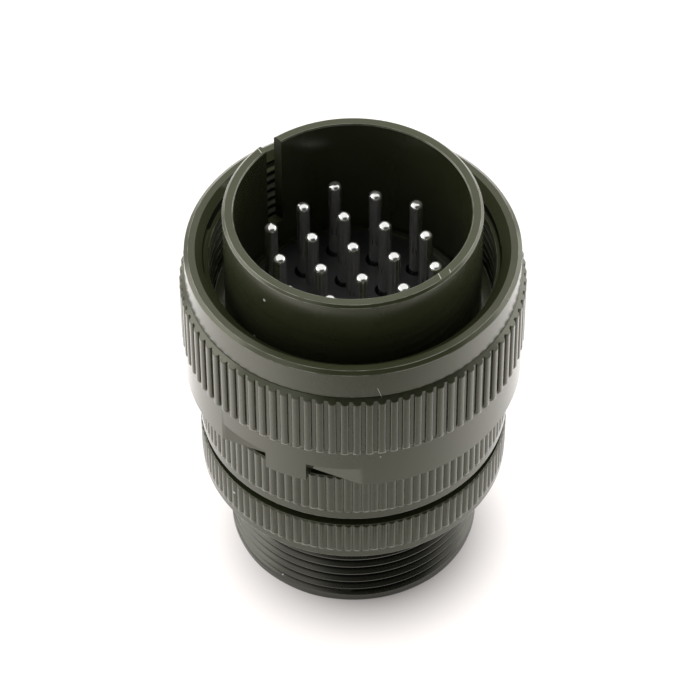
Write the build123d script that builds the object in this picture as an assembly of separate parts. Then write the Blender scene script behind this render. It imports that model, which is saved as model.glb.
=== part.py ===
from build123d import *
import math
import os

# Straight circular connector plug: coupling nut, plug shell, end bell, inserts and pin contacts.
# Millimetres. The origin is the centre of the rear end face, +Z points to the mating end,
# and the polarising keyway of the shell is at +Y. The barrel's radius drives the radii of the shell,
# the nut and the end bell, which follow from it by walls, steps and room for the mating half.

# End bell, stacked upwards from the rear end face
rear_thread_radius = 15.08
rear_thread_wall = 2.48
rear_thread_length = 12.85
rear_thread_chamfer = 0.15
rear_thread_start = 2.04
rear_thread_pitch = 1.411
rear_thread_depth = 0.42
rear_thread_groove_width = 0.48
rear_band_land = 1.05
rear_band_knurl = 4.75
bell_groove_width = 1.28
bell_groove_wall = 1.95
front_band_land = 1.22
front_band_knurl = 6.35
bell_rib_count = 110
bell_band_rise = 1.05
bell_rib_height = 0.38
bell_land_step = 0.04
bell_bore_lead = 0.5
bell_bore_length = 12.3
bell_socket_depth = 8.2
shell_seat_width = 1.65

# Coupling nut, stacked upwards from its skirt
skirt_gap = 0.6
skirt_step = 0.35
skirt_length = 5.7
skirt_bore_room = 1.0
skirt_bore_depth = 4.5
nut_rib_count = 88
nut_rib_rise = 0.66
nut_rib_height = 0.48
nut_rib_width = 1.0
nut_knurl_length = 8.75
nut_relief_depth = 0.53
nut_relief_width = 0.78
nut_rim_width = 1.3
nut_band_length = 3.92
nut_edge_chamfer_width = 0.48
nut_edge_chamfer_height = 0.35
nut_mouth_chamfer = 1.58
mating_shell_room = 1.7
nut_web_thickness = 2.3

# Notch in the skirt: a flat with a tab of full radius left in its middle
notch_height = 2.84
notch_depth = 2.08
notch_tab_width = 5.1
notch_angle = -155.5

# Parts that hold the coupling nut on the shell
nut_end_play = 1.1
thrust_washer_thickness = 0.8
thrust_washer_width = 0.7
nut_ring_thickness = 0.8
nut_ring_width = 1.35
nut_ring_gap = 3.0

# Plug shell
barrel_radius = 15.0
barrel_wall = 1.31
journal_step = 0.4
journal_wall = 1.4
nut_ring_groove_depth = 0.7
shell_flange_clearance = 0.4
shell_flange_thickness = 2.4
barrel_length = 15.0
rim_chamfer = 0.3
rim_bore_chamfer = 0.12
keyway_width = 2.3
keyway_depth = 13.2
insert_lip_width = 0.64
insert_lip_thickness = 1.1
shell_rear_chamfer = 0.4

# Inserts and the ring behind them
insert_face_recess = 17.3
insert_nose_clearance = 0.1
insert_nose_stand = 0.4
front_insert_length = 6.7
rear_insert_length = 5.5
insert_ring_thickness = 1.0
insert_ring_width = 1.65
insert_ring_groove_depth = 0.6
insert_ring_gap = 4.5
insert_key_width = 2.0
insert_key_height = 0.7
insert_key_length = 2.5

# Contacts, in rows of three, four, five, four and three
contact_rows = (3, 4, 5, 4, 3)
contact_letters = "abcdefghjklmnprstuv"
contact_pitch = 4.99
pin_radius = 0.794
pin_exposed = 11.35
pin_tip_height = 0.55
pin_tip_flat = 0.24
pocket_radius = 1.15
pocket_depth = 2.2
collar_radius = 1.45
collar_length = 4.0
cup_radius = 1.27
cup_bore_radius = 0.9
cup_bore_depth = 5.5
cup_exposed = 6.6
cup_scoop_length = 3.2

# Flats that stand for the round crown of each rib
rib_flats = 4

# Fits
thread_fit = 0.05
running_fit = 0.05
insert_fit = 0.05
ring_fit = 0.03
contact_fit = 0.04

# Radii that follow from the barrel, inwards and outwards
barrel_bore_radius = barrel_radius - barrel_wall
insert_lip_radius = barrel_bore_radius - insert_lip_width
insert_nose_radius = insert_lip_radius - insert_nose_clearance
journal_radius = barrel_radius + journal_step
insert_bore_radius = journal_radius - journal_wall

nut_thread_crest_radius = barrel_radius + mating_shell_room
shell_flange_radius = nut_thread_crest_radius - shell_flange_clearance
nut_mouth_radius = nut_thread_crest_radius + nut_mouth_chamfer
nut_band_radius = nut_mouth_radius + nut_rim_width
nut_relief_radius = nut_band_radius - nut_relief_depth
nut_rib_radius = nut_band_radius + nut_rib_rise
skirt_radius = nut_band_radius + skirt_step
skirt_bore_radius = journal_radius + skirt_bore_room
notch_flat_distance = skirt_radius - notch_depth

bell_socket_radius = journal_radius + thread_fit
bell_groove_radius = bell_socket_radius + bell_groove_wall
bell_rib_radius = bell_groove_radius + bell_band_rise
bell_chamber_radius = bell_socket_radius - shell_seat_width
bell_bore_radius = rear_thread_radius - rear_thread_wall

# Heights that follow from the stacks
rear_band_z = rear_thread_length
rear_knurl_z = rear_band_z + rear_band_land
bell_groove_z = rear_knurl_z + rear_band_knurl
front_band_z = bell_groove_z + bell_groove_width
front_knurl_z = front_band_z + front_band_land
bell_top_z = front_knurl_z + front_band_knurl
bell_socket_z = bell_top_z - bell_socket_depth

nut_z = bell_top_z + skirt_gap
nut_knurl_z = nut_z + skirt_length
nut_relief_z = nut_knurl_z + nut_knurl_length
nut_band_z = nut_relief_z + nut_relief_width
nut_top_z = nut_band_z + nut_band_length
nut_web_z = nut_z + skirt_bore_depth
nut_web_top_z = nut_web_z + nut_web_thickness

thrust_washer_z = nut_web_z - thrust_washer_thickness
nut_ring_z = thrust_washer_z - nut_ring_thickness

flange_z = nut_web_top_z + nut_end_play
flange_top_z = flange_z + shell_flange_thickness
rim_z = flange_top_z + barrel_length
keyway_z = rim_z - keyway_depth

insert_face_z = rim_z - insert_face_recess
insert_lip_top_z = insert_face_z - insert_nose_stand
insert_lip_z = insert_lip_top_z - insert_lip_thickness
insert_joint_z = insert_lip_z - front_insert_length
rear_insert_z = insert_joint_z - rear_insert_length
insert_ring_z = rear_insert_z - insert_ring_thickness

pocket_z = insert_face_z - pocket_depth
pin_tip_z = insert_face_z + pin_exposed
collar_z = insert_joint_z - collar_length / 2
collar_top_z = insert_joint_z + collar_length / 2
cup_z = rear_insert_z - cup_exposed


def turned(outline):
    """Turns a closed outline of (radius, height) points about the axis."""
    return revolve(Plane.XZ * make_face(Polyline(*outline, close=True)), Axis.Z)


def polar_point(radius, angle):
    """Point at a radius and an angle in radians on the XY plane."""
    return (radius * math.cos(angle), radius * math.sin(angle))


def rib_ring(count, crest_radius, height, width, inner_radius, length):
    """Ring of half-oval ribs round the axis, with valley floors wherever the ribs leave room."""
    valley_radius = crest_radius - height
    step = 2 * math.pi / count
    half_rib = min(math.asin(width / 2 / valley_radius), step / 2)
    ribs_touch = half_rib == step / 2
    points = []
    for index in range(count):
        for flat in range(rib_flats if ribs_touch else rib_flats + 1):
            turn = math.pi * flat / rib_flats
            radius = valley_radius + height * math.sin(turn)
            points.append(polar_point(radius, index * step - half_rib * math.cos(turn)))
    ring = make_face(Polyline(*points, close=True)) - Circle(inner_radius)
    return extrude(ring, length)


def split_ring(inner_radius, outer_radius, thickness, gap, angle):
    """Flat retaining ring with one gap at the given angle in degrees."""
    ring = Circle(outer_radius) - Circle(inner_radius)
    opening = Pos(outer_radius, 0) * Rectangle(2 * outer_radius, gap)
    return extrude(ring - Rot(0, 0, angle) * opening, thickness)


def contact_places():
    """Centres of the contacts, row by row, each row shifted half a pitch."""
    row_step = contact_pitch * math.sqrt(3) / 2
    middle_row = (len(contact_rows) - 1) / 2
    places = []
    for row, count in enumerate(contact_rows):
        for column in range(count):
            places.append(((column - (count - 1) / 2) * contact_pitch, (middle_row - row) * row_step))
    return places


def rear_thread_grooves():
    """Outline points of the rear thread's grooves, one ring a pitch, from the rear end upwards."""
    root_radius = rear_thread_radius - rear_thread_depth
    half_width = rear_thread_groove_width / 2
    points = []
    for turn in range(int((rear_thread_length - rear_thread_start) / rear_thread_pitch)):
        root_z = rear_thread_start + turn * rear_thread_pitch
        points.append((rear_thread_radius, root_z - half_width))
        points.append((root_radius, root_z))
        points.append((rear_thread_radius, root_z + half_width))
    return points


def make_end_bell():
    """End bell: rear accessory thread, two knurled bands and the socket for the shell."""
    core_radius = bell_groove_radius - bell_rib_height
    land_radius = bell_rib_radius - bell_land_step
    body = turned([
        (bell_bore_radius + bell_bore_lead, 0),
        (rear_thread_radius - rear_thread_chamfer, 0),
        (rear_thread_radius, rear_thread_chamfer),
        *rear_thread_grooves(),
        (rear_thread_radius, rear_band_z),
        (land_radius, rear_band_z),
        (land_radius, rear_knurl_z),
        (core_radius, rear_knurl_z),
        (core_radius, bell_groove_z),
        (bell_groove_radius, bell_groove_z),
        (bell_groove_radius, front_band_z),
        (land_radius, front_band_z),
        (land_radius, front_knurl_z),
        (core_radius, front_knurl_z),
        (core_radius, bell_top_z),
        (bell_socket_radius, bell_top_z),
        (bell_socket_radius, bell_socket_z),
        (bell_chamber_radius, bell_socket_z),
        (bell_chamber_radius, bell_bore_length),
        (bell_bore_radius, bell_bore_length),
        (bell_bore_radius, bell_bore_lead),
    ])
    pitch = 2 * math.pi * bell_rib_radius / bell_rib_count
    overlap_radius = core_radius - bell_rib_height
    for bottom, length in ((rear_knurl_z, rear_band_knurl), (front_knurl_z, front_band_knurl)):
        ring = rib_ring(bell_rib_count, bell_rib_radius, bell_rib_height, pitch, overlap_radius, length)
        body += Pos(0, 0, bottom) * ring
    return body


def make_coupling_nut():
    """Coupling nut: smooth band, knurl, notched skirt, thread bore at its crest and the inner web."""
    core_radius = nut_relief_radius - nut_rib_height
    web_bore_radius = journal_radius + running_fit
    body = turned([
        (skirt_bore_radius, nut_z),
        (skirt_radius, nut_z),
        (skirt_radius, nut_knurl_z),
        (core_radius, nut_knurl_z),
        (core_radius, nut_relief_z),
        (nut_relief_radius, nut_relief_z),
        (nut_relief_radius, nut_band_z),
        (nut_band_radius, nut_band_z),
        (nut_band_radius, nut_top_z - nut_edge_chamfer_height),
        (nut_band_radius - nut_edge_chamfer_width, nut_top_z),
        (nut_mouth_radius, nut_top_z),
        (nut_thread_crest_radius, nut_top_z - nut_mouth_chamfer),
        (nut_thread_crest_radius, nut_web_top_z),
        (web_bore_radius, nut_web_top_z),
        (web_bore_radius, nut_web_z),
        (skirt_bore_radius, nut_web_z),
    ])
    overlap_radius = core_radius - nut_rib_height
    ring = rib_ring(
        nut_rib_count, nut_rib_radius, nut_rib_height, nut_rib_width, overlap_radius, nut_knurl_length
    )
    body += Pos(0, 0, nut_knurl_z) * ring
    return body - make_skirt_notch()


def make_skirt_notch():
    """Material taken off the skirt: all beyond the flat, save the tab in the middle."""
    reach = skirt_radius - notch_flat_distance + nut_rib_height
    beyond = Pos(notch_flat_distance + reach / 2, 0) * Rectangle(reach, 2 * skirt_radius)
    tab = Pos(notch_flat_distance + reach / 2, 0) * Rectangle(reach, notch_tab_width)
    return Pos(0, 0, nut_z) * Rot(0, 0, notch_angle) * extrude(beyond - tab, notch_height)


def make_plug_shell():
    """Plug shell: barrel with the open keyway, flange, nut journal, lip for the insert, ring grooves."""
    nut_groove_radius = journal_radius - nut_ring_groove_depth
    nut_groove_top_z = thrust_washer_z + ring_fit
    insert_groove_radius = insert_bore_radius + insert_ring_groove_depth
    insert_groove_z = insert_ring_z - ring_fit
    shell_rear_z = bell_socket_z
    body = turned([
        (insert_bore_radius, shell_rear_z),
        (journal_radius - shell_rear_chamfer, shell_rear_z),
        (journal_radius, shell_rear_z + shell_rear_chamfer),
        (journal_radius, nut_ring_z),
        (nut_groove_radius, nut_ring_z),
        (nut_groove_radius, nut_groove_top_z),
        (journal_radius, nut_groove_top_z),
        (journal_radius, flange_z),
        (shell_flange_radius, flange_z),
        (shell_flange_radius, flange_top_z),
        (barrel_radius, flange_top_z),
        (barrel_radius, rim_z - rim_chamfer),
        (barrel_radius - rim_chamfer, rim_z),
        (barrel_bore_radius + rim_bore_chamfer, rim_z),
        (barrel_bore_radius, rim_z - rim_bore_chamfer),
        (barrel_bore_radius, insert_lip_top_z),
        (insert_lip_radius, insert_lip_top_z),
        (insert_lip_radius, insert_lip_z),
        (insert_bore_radius, insert_lip_z),
        (insert_bore_radius, rear_insert_z),
        (insert_groove_radius, rear_insert_z),
        (insert_groove_radius, insert_groove_z),
        (insert_bore_radius, insert_groove_z),
    ])
    keyway = Pos(0, barrel_radius, keyway_z) * extrude(Rectangle(keyway_width, barrel_radius), keyway_depth)
    key_seat_width = insert_key_width + 2 * insert_fit
    key_seat_height = insert_key_height + insert_fit
    key_seat = extrude(
        Pos(0, insert_bore_radius) * Rectangle(key_seat_width, 2 * key_seat_height), insert_key_length
    )
    return body - keyway - Pos(0, 0, insert_lip_z - insert_key_length) * key_seat


def contact_hole(steps):
    """Stepped hole for one contact from (radius, low height, high height) steps."""
    tool = None
    for radius, low, high in steps:
        step = Pos(0, 0, low) * extrude(Circle(radius), high - low)
        tool = step if tool is None else tool + step
    return tool


def make_front_insert():
    """Front insert: nose through the lip, flange behind it, key, and a pocket round each pin."""
    flange_radius = insert_bore_radius - insert_fit
    body = turned([
        (0, insert_joint_z),
        (flange_radius, insert_joint_z),
        (flange_radius, insert_lip_z),
        (insert_nose_radius, insert_lip_z),
        (insert_nose_radius, insert_face_z),
        (0, insert_face_z),
    ])
    key = Pos(0, insert_bore_radius) * Rectangle(insert_key_width, 2 * insert_key_height)
    key = extrude(key, insert_key_length)
    body += Pos(0, 0, insert_lip_z - insert_key_length) * key
    hole = contact_hole([
        (collar_radius + contact_fit, insert_joint_z, collar_top_z),
        (pin_radius + contact_fit, collar_top_z, pocket_z),
        (pocket_radius, pocket_z, insert_face_z),
    ])
    return body - [Pos(x, y) * hole for x, y in contact_places()]


def make_rear_insert():
    """Rear insert: disc that closes the collars in from behind and carries the solder cups."""
    body = Pos(0, 0, rear_insert_z) * extrude(Circle(insert_bore_radius - insert_fit), rear_insert_length)
    hole = contact_hole([
        (cup_radius + contact_fit, rear_insert_z, collar_z),
        (collar_radius + contact_fit, collar_z, insert_joint_z),
    ])
    return body - [Pos(x, y) * hole for x, y in contact_places()]


def make_contact():
    """Pin contact on the axis: domed pin, collar and a solder cup with its scooped mouth."""
    shoulder = Vector(pin_radius, pin_tip_z - pin_tip_height)
    crown = Vector(pin_tip_flat, pin_tip_z)
    outline = Polyline(
        (0, pin_tip_z),
        (0, cup_z + cup_bore_depth),
        (cup_bore_radius, cup_z + cup_bore_depth),
        (cup_bore_radius, cup_z),
        (cup_radius, cup_z),
        (cup_radius, collar_z),
        (collar_radius, collar_z),
        (collar_radius, collar_top_z),
        (pin_radius, collar_top_z),
        shoulder,
    )
    dome = TangentArc(shoulder, crown, tangent=(0, 1))
    face = make_face(outline + dome + Line(crown, (0, pin_tip_z)))
    body = revolve(Plane.XZ * face, Axis.Z)
    scoop = extrude(Pos(0, cup_radius) * Rectangle(2 * cup_radius, 2 * cup_radius), cup_scoop_length)
    return body - Pos(0, 0, cup_z) * scoop


def make_thrust_washer():
    """Flat washer between the nut's web and its retaining ring."""
    inner_radius = journal_radius + running_fit
    ring = Circle(inner_radius + thrust_washer_width) - Circle(inner_radius)
    return Pos(0, 0, thrust_washer_z) * extrude(ring, thrust_washer_thickness)


def make_nut_ring():
    """Split ring in the shell's outer groove that keeps the nut on."""
    inner_radius = journal_radius - nut_ring_groove_depth + ring_fit
    ring = split_ring(inner_radius, inner_radius + nut_ring_width, nut_ring_thickness, nut_ring_gap, 180)
    return Pos(0, 0, nut_ring_z) * ring


def make_insert_ring():
    """Split ring in the shell's inner groove that keeps the inserts in."""
    outer_radius = insert_bore_radius + insert_ring_groove_depth - ring_fit
    inner_radius = outer_radius - insert_ring_width
    ring = split_ring(inner_radius, outer_radius, insert_ring_thickness, insert_ring_gap, 270)
    return Pos(0, 0, insert_ring_z) * ring


def main():
    """Builds every piece in place and writes one file for each."""
    nodes = {
        "end_bell": make_end_bell(),
        "coupling_nut": make_coupling_nut(),
        "plug_shell": make_plug_shell(),
        "front_insert": make_front_insert(),
        "rear_insert": make_rear_insert(),
        "nut_thrust_washer": make_thrust_washer(),
        "nut_retaining_ring": make_nut_ring(),
        "insert_retaining_ring": make_insert_ring(),
    }
    contact = make_contact()
    for letter, (x, y) in zip(contact_letters, contact_places()):
        nodes[f"contact_{letter}"] = Pos(x, y) * contact
    os.makedirs("parts", exist_ok=True)
    for name, shape in nodes.items():
        export_step(shape, f"parts/{name}.step")


if __name__ == "__main__":
    main()
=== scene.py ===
"""Looks of a straight circular connector plug: turned, knurled and threaded skins, silvered pins, light.

Lengths in the dataclasses are millimetres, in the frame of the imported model: the origin is the centre of the
rear end face, +Z points to the mating end and the keyway of the shell is at +Y.
"""

import logging
import math
from collections.abc import Callable, Sequence
from dataclasses import dataclass, field, replace
from enum import Enum
from functools import cached_property
from itertools import pairwise, product

import bmesh
import bpy
from bpy.types import ID, Material, Node, NodeSocket as Socket, NodeTree, Object, World
from mathutils import Euler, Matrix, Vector


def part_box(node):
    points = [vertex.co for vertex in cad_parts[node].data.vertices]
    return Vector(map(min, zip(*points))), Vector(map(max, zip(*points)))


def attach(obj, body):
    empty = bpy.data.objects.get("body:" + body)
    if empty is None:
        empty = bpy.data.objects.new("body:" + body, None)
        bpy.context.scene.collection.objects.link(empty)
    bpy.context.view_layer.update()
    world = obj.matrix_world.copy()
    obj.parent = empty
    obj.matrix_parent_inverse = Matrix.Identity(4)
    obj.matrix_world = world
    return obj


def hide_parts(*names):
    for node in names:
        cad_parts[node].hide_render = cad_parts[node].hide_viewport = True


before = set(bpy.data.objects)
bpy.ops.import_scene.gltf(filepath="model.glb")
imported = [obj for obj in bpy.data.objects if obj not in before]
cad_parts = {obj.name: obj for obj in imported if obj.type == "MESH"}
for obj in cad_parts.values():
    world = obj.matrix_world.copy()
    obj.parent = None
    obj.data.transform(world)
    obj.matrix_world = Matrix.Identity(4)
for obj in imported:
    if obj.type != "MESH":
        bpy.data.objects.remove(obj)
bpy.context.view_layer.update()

LOG = logging.getLogger("connector_plug")
MM = 0.001
FULL_TURN = 2 * math.pi
MERGE_DISTANCE = 1e-7
SHARP_ANGLE = math.radians(38)
NEARLY_STRAIGHT = math.radians(89)
ROUND_OFF = 1e-5
EVEN_COLUMNS = 360
BORE_COLUMNS = 180
ROUNDING_FLATS = 3
EDGE_FADE = 0.03
CRISP, KEEN, FINE, EASED, SOFT, BROAD, FILLET = 0.04, 0.05, 0.06, 0.08, 0.1, 0.12, 0.15
TONE_RANGE = (0.35, 0.65)
WHITE = (1.0, 1.0, 1.0, 1.0)
MIX_COLOUR_INPUTS = (6, 7)
MIX_COLOUR_OUTPUT = 2

Pair = tuple[float, float]
Triple = tuple[float, float, float]
Circle = list[int]


class Body(Enum):
    """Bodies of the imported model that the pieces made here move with."""

    PLUG = "plug_body"
    NUT = "nut"


class Slot(Enum):
    """Names of two of the record's slots."""

    PLATING = "drab_plating"
    SILVER = "silver_plating"


def node_reach(node: str) -> Pair:
    """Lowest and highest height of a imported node."""
    low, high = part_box(node)
    return low.z / MM, high.z / MM


def linked(name: str, data: ID) -> Object:
    """Makes an object and puts it in the scene.

    Args:
        name: The object's name.
        data: Its mesh, camera or light.

    Returns:
        The object.
    """
    made = bpy.data.objects.new(name, data)
    bpy.context.scene.collection.objects.link(made)
    return made


def opaque(colour: Triple, share: float = 1.0) -> tuple[float, ...]:
    """Colour times a share, with full alpha."""
    return (*(channel * share for channel in colour), 1.0)


@dataclass(frozen=True)
class Stop:
    """One circle of a turned surface: radius, height and how much it is an exposed edge, 0 to 1."""

    radius: float
    height: float
    edge: float = 0.0


def softened(*corners: tuple[float, ...]) -> list[Stop]:
    """Rounds the corners of an open outline.

    Args:
        corners: Radius, height and, where it is rounded, rounding of each corner in order.

    Returns:
        The circles of the turned surface, with the roundings marked as edges.
    """
    stops = [Stop(*corners[0][:2])]
    for before, corner, after in zip(corners, corners[1:], corners[2:]):
        here = Vector(corner[:2])
        back, ahead = Vector(before[:2]) - here, Vector(after[:2]) - here
        room_back, room_ahead = back.length / 2, ahead.length / 2
        back.normalize()
        ahead.normalize()
        half = back.angle(ahead) / 2
        if len(corner) < 3 or half > NEARLY_STRAIGHT:
            stops.append(Stop(*here))
            continue
        reach = corner[2] / math.tan(half)
        centre = here + (back + ahead).normalized() * (corner[2] / math.sin(half))
        start = here + back * reach - centre
        sweep = start.angle_signed(here + ahead * reach - centre)
        if reach + EDGE_FADE < room_back:
            stops.append(Stop(*(here + back * (reach + EDGE_FADE))))
        for flat in range(ROUNDING_FLATS + 1):
            turn = -sweep * flat / ROUNDING_FLATS
            spoke = Vector((
                start.x * math.cos(turn) - start.y * math.sin(turn),
                start.x * math.sin(turn) + start.y * math.cos(turn),
            ))
            stops.append(Stop(*(centre + spoke), 1.0))
        if reach + EDGE_FADE < room_ahead:
            stops.append(Stop(*(here + ahead * (reach + EDGE_FADE))))
    return [*stops, Stop(*corners[-1][:2])]


def even_angles(count: int) -> list[float]:
    """Evenly spaced angles round the axis."""
    return [FULL_TURN * index / count for index in range(count)]


@dataclass
class Skin:
    """Surface of one piece: points in millimetres, faces and an edge mark for each point, below zero for
    painted shade in thread roots.
    """

    points: list[Vector] = field(default_factory=list)
    faces: list[Circle] = field(default_factory=list)
    edges: list[float] = field(default_factory=list)

    def point(self, radius: float, angle: float, height: float, edge: float = 0.0) -> int:
        """Adds a point in polar form and returns its number.

        Args:
            radius: Distance from the axis.
            angle: Angle about the axis.
            height: Height.
            edge: Its edge mark.

        Returns:
            The point's number.
        """
        self.points.append(Vector((radius * math.cos(angle), radius * math.sin(angle), height)))
        self.edges.append(edge)
        return len(self.points) - 1

    def ring(self, stop: Stop, angles: Sequence[float]) -> Circle:
        """Adds one circle of points."""
        return [self.point(stop.radius, angle, stop.height, stop.edge) for angle in angles]

    def strip(self, low: Circle, high: Circle, closed: bool = True) -> None:
        """Joins two rows by quads.

        Args:
            low: Points of one row.
            high: As many points of the other.
            closed: Whether the last points are joined to the first.
        """
        for index in range(len(low) if closed else len(low) - 1):
            after = (index + 1) % len(low)
            self.faces.append([low[index], low[after], high[after], high[index]])

    def pile(self, rings: Sequence[Circle]) -> tuple[Circle, Circle]:
        """Joins circles in order, and returns the first and the last.

        Args:
            rings: The circles, of as many points each.

        Returns:
            The first and the last.
        """
        for low, high in pairwise(rings):
            self.strip(low, high)
        return rings[0], rings[-1]

    def turn(self, stops: Sequence[Stop], angles: Sequence[float]) -> tuple[Circle, Circle]:
        """Turns an open outline about the axis, and returns its first and last circle."""
        return self.pile([self.ring(stop, angles) for stop in stops])

    def lathe(self, columns: int, *corners: tuple[float, ...]) -> tuple[Circle, Circle]:
        """Turns an outline with its corners rounded, and returns its first and last circle."""
        return self.turn(softened(*corners), even_angles(columns))

    def angle_of(self, index: int) -> float:
        """Angle of a point about the axis."""
        return math.atan2(self.points[index].y, self.points[index].x) % FULL_TURN

    def stitch(self, one: Circle, other: Circle) -> None:
        """Joins two circles of unlike counts by triangles, in order of angle.

        Args:
            one: Points of the first circle.
            other: Points of the second.
        """
        first, second = (sorted(circle, key=self.angle_of) for circle in (one, other))
        first_angles, second_angles = (
            [self.angle_of(index) for index in circle] + [self.angle_of(circle[0]) + FULL_TURN]
            for circle in (first, second)
        )
        i = j = 0
        while i < len(first) or j < len(second):
            here, there = first[i % len(first)], second[j % len(second)]
            if j == len(second) or (i < len(first) and first_angles[i + 1] <= second_angles[j + 1]):
                i += 1
                self.faces.append([here, there, first[i % len(first)]])
            else:
                j += 1
                self.faces.append([here, there, second[j % len(second)]])

    def as_object(self, name: str) -> Object:
        """Makes the object, in metres.

        Args:
            name: The piece's name.

        Returns:
            The smooth-shaded object with its edge marks.
        """
        mesh = bpy.data.meshes.new(name)
        mesh.from_pydata([point * MM for point in self.points], [], self.faces)
        mesh.attributes.new("edge", "FLOAT", "POINT").data.foreach_set("value", self.edges)
        work = bmesh.new()
        work.from_mesh(mesh)
        bmesh.ops.remove_doubles(work, verts=work.verts, dist=MERGE_DISTANCE)
        bmesh.ops.dissolve_degenerate(work, edges=work.edges, dist=MERGE_DISTANCE)
        bmesh.ops.recalc_face_normals(work, faces=work.faces)
        work.to_mesh(mesh)
        work.free()
        mesh.shade_smooth()
        mesh.set_sharp_from_angle(angle=SHARP_ANGLE)
        piece = linked(name, mesh)
        piece.modifiers.new("even_shading", "WEIGHTED_NORMAL").keep_sharp = True
        return piece


@dataclass(frozen=True)
class Knurl:
    """Straight knurl: ribs along the axis, cut by a right-angled cone at the top, with valleys that run out.

    Ribs with a width of their own are round crowns with steep feet and a valley between them. The others are
    arcs that touch each other.
    """

    count: int
    crest_radius: float
    rib_height: float
    rib_width: float = 0.0
    crown_fullness: float = 2.4
    arc_flats: int = 10
    cone_start: float = 0.0
    foot_rounding: float = 0.1
    run_out_length: float = 0.3
    run_out_height: float = 0.05
    run_out_power: float = 1.0
    end_steps: int = 5
    crown_mark: float = 0.05
    foot_mark: float = 1.5
    foot_line: float = 0.19

    @property
    def valley_radius(self) -> float:
        """Radius at the foot of the ribs."""
        return self.crest_radius - self.rib_height

    def rib(self) -> list[Pair]:
        """Draws one rib.

        Returns:
            Place across the rib and rise of every point of its outline.
        """
        if self.rib_width:
            power = 2 / self.crown_fullness
            turns = [math.pi * (1 - flat / self.arc_flats) for flat in range(self.arc_flats + 1)]
            outline = [(math.cos(turn), max(0.0, math.sin(turn))) for turn in turns]
            half = self.rib_width / 2
            return [
                (math.copysign(half * abs(across)**power, across), self.rib_height * up**power)
                for across, up in outline
            ]
        half = self.valley_radius * math.pi / self.count
        radius = (half**2 + self.rib_height**2) / (2 * self.rib_height)
        reach = math.asin(half / radius)
        turns = [reach * (2 * flat / self.arc_flats - 1) for flat in range(self.arc_flats)]
        return [
            (radius * math.sin(turn), radius * math.cos(turn) - radius + self.rib_height) for turn in turns
        ]

    def crown(self) -> list[Pair]:
        """Lays the ribs round one circle.

        Returns:
            Angle and rise of every point.
        """
        step = FULL_TURN / self.count
        places = []
        for rib in range(self.count):
            places += [(rib * step + place / self.valley_radius, rise) for place, rise in self.rib()]
            if self.rib_width:
                places.append(((rib + 0.5) * step, 0.0))
        return places

    def rows(self, bottom: float, top: float) -> list[Triple]:
        """Plans the circles of the knurl.

        Args:
            bottom: Height of the lower end.
            top: Height of the upper end.

        Returns:
            Height, highest rise and valley rise of every circle from the bottom to the top.
        """
        rows = []
        for step in range(self.end_steps + 1):
            along = self.run_out_length * step / self.end_steps
            valley_rise = self.run_out_height * (1 - step / self.end_steps) ** self.run_out_power
            short = max(0.0, self.foot_rounding - along)
            drop = self.foot_rounding - math.sqrt(self.foot_rounding**2 - short**2)
            rows.append((bottom + along, self.rib_height - drop, valley_rise))
            rise = self.rib_height * step / self.end_steps
            rows.append((top - self.cone_start - rise, rise, 0.0))
        return sorted(rows)

    def cut(
        self, skin: Skin, bottom: float, top: float, neck_radius: float | None = None
    ) -> tuple[Circle, Circle]:
        """Adds the knurled surface.

        Args:
            skin: The surface to add to.
            bottom: Height of the lower end, where the valleys run out.
            top: Height of the upper end.
            neck_radius: Radius where the end cone starts, or none for a cone that starts in the valleys.

        Returns:
            The lowest and the highest circle of points.
        """
        crown = self.crown()
        neck_radius = neck_radius or self.valley_radius
        cone_top = top - (self.valley_radius - neck_radius)
        rings = []
        for height, highest, valley_rise in self.rows(bottom, cone_top):
            ring = []
            near_foot = height < bottom + self.foot_line
            for angle, rise in crown:
                lift = max(min(rise, highest), valley_rise)
                mark = self.foot_mark if near_foot else self.crown_mark * rise / self.rib_height
                ring.append(skin.point(self.valley_radius + lift, angle, height, mark))
            rings.append(ring)
        rings.append([skin.point(neck_radius, angle, top) for angle, _ in crown])
        return skin.pile(rings)


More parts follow.
